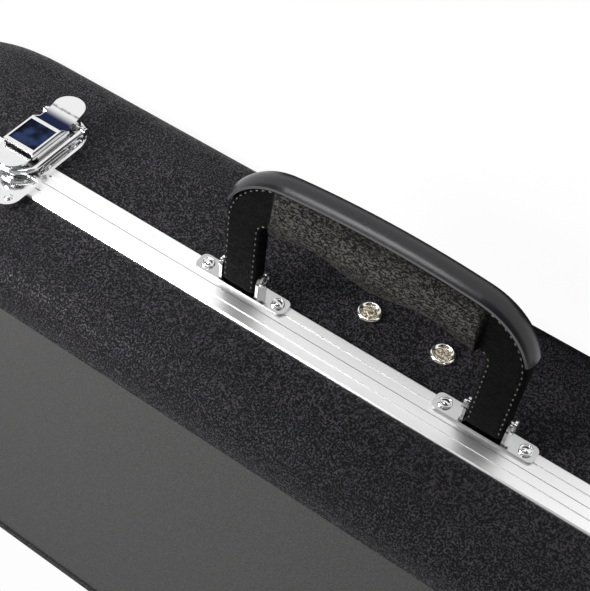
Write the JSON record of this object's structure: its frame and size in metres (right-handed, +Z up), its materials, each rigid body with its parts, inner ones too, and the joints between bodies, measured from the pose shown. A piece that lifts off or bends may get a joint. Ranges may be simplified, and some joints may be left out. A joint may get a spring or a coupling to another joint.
{
  "type": "mandolin case",
  "caption": "Hard case for a mandolin: two moulded halves with metal valances, hinged lid, draw latches, folding leather handle and padded lining.",
  "frame": {"origin": "middle of the flat base panel that the closed case rests on", "axes": "+X along the case towards the mandolin's body end, -Y towards the handle and latches, +Z up through the lid"},
  "size_m": [0.743, 0.3942, 0.144],
  "materials": {
    "shell_abs": "pebble-grained black moulding",
    "valance_metal": "satin anodised extrusion",
    "chrome": "polished stamped steel",
    "rivet_nickel": "pale gold nickel",
    "handle_leather": "black grained leather with light stitches",
    "bead_plastic": "glossy black moulding",
    "plain_steel": "plain zinc-plated steel",
    "foot_rubber": "black rubber",
    "lining": "black plush over foam",
    "board": "plain plywood"
  },
  "bodies": {
    "body": {"body_shell": "shell_abs", "body_valance": "valance_metal", "handle_bracket_left": "chrome", "handle_bracket_right": "chrome", "bracket_rivets": "chrome", "middle_rivets": "rivet_nickel", "reinforcement_board": "board", "handle_pins": "chrome", "pin_rings": "chrome", "latch_base_left": "chrome", "latch_base_right": "chrome", "latch_housing_left": "chrome", "latch_housing_right": "chrome", "lever_pin_left": "chrome", "lever_pin_right": "chrome", "latch_rivets_left": "chrome", "latch_rivets_right": "chrome", "hinge_body_leaf_1": "chrome", "hinge_body_leaf_2": "chrome", "hinge_body_leaf_3": "chrome", "hinge_pin_1": "chrome", "hinge_pin_2": "chrome", "hinge_pin_3": "chrome", "hinge_rivets_body": "chrome", "body_feet": "foot_rubber", "body_liner": "lining", "neck_cradle": "lining", "accessory_box": "lining"},
    "lid": {"lid_shell": "shell_abs", "lid_valance": "valance_metal", "latch_catch_left": "chrome", "latch_catch_right": "chrome", "catch_rivets_left": "chrome", "catch_rivets_right": "chrome", "hinge_lid_leaf_1": "chrome", "hinge_lid_leaf_2": "chrome", "hinge_lid_leaf_3": "chrome", "hinge_rivets_lid": "chrome", "lid_feet": "foot_rubber", "lid_liner": "lining"},
    "handle": {"handle_grip": "handle_leather", "handle_core": "plain_steel", "handle_bead": "bead_plastic"},
    "lever_left": {"latch_lever_left": "chrome"},
    "lever_right": {"latch_lever_right": "chrome"},
    "bail_left": {"latch_bail_left": "chrome", "bail_pin_left": "chrome"},
    "bail_right": {"latch_bail_right": "chrome", "bail_pin_right": "chrome"},
    "flap": {"accessory_flap": "lining", "flap_tab": "lining"}
  },
  "joints": [
    {"name": "lid_hinge", "type": "hinge", "parent": "body", "child": "lid", "pos_m": [0, 0.1548, 0.0858], "axis": [-1, 0, 0], "range_deg": [0, 100]},
    {"name": "handle_pivot", "type": "hinge", "parent": "body", "child": "handle", "pos_m": [0, -0.1605, 0.078], "axis": [1, 0, 0], "range_deg": [-88, 88]},
    {"name": "flap_hinge", "type": "hinge", "parent": "body", "child": "flap", "pos_m": [-0.1, 0.1196, 0.0826], "axis": [-1, 0, 0], "range_deg": [0, 95]},
    {"name": "lever_pivot_left", "type": "hinge", "parent": "body", "child": "lever_left", "pos_m": [-0.1975, -0.1589, 0.06], "axis": [-1, 0, 0], "range_deg": [0, 75]},
    {"name": "bail_pivot_left", "type": "hinge", "parent": "lever_left", "child": "bail_left", "pos_m": [-0.1975, -0.1567, 0.0495], "axis": [-1, 0, 0], "range_deg": [-60, 0]},
    {"name": "lever_pivot_right", "type": "hinge", "parent": "body", "child": "lever_right", "pos_m": [0.1975, -0.1589, 0.06], "axis": [-1, 0, 0], "range_deg": [0, 75]},
    {"name": "bail_pivot_right", "type": "hinge", "parent": "lever_right", "child": "bail_right", "pos_m": [0.1975, -0.1567, 0.0495], "axis": [-1, 0, 0], "range_deg": [-60, 0]}
  ],
  "couplings": [
    {"joint": "bail_pivot_left", "follows": "lever_pivot_left", "ratio": -0.7934},
    {"joint": "bail_pivot_right", "follows": "lever_pivot_right", "ratio": -0.7934}
  ]
}
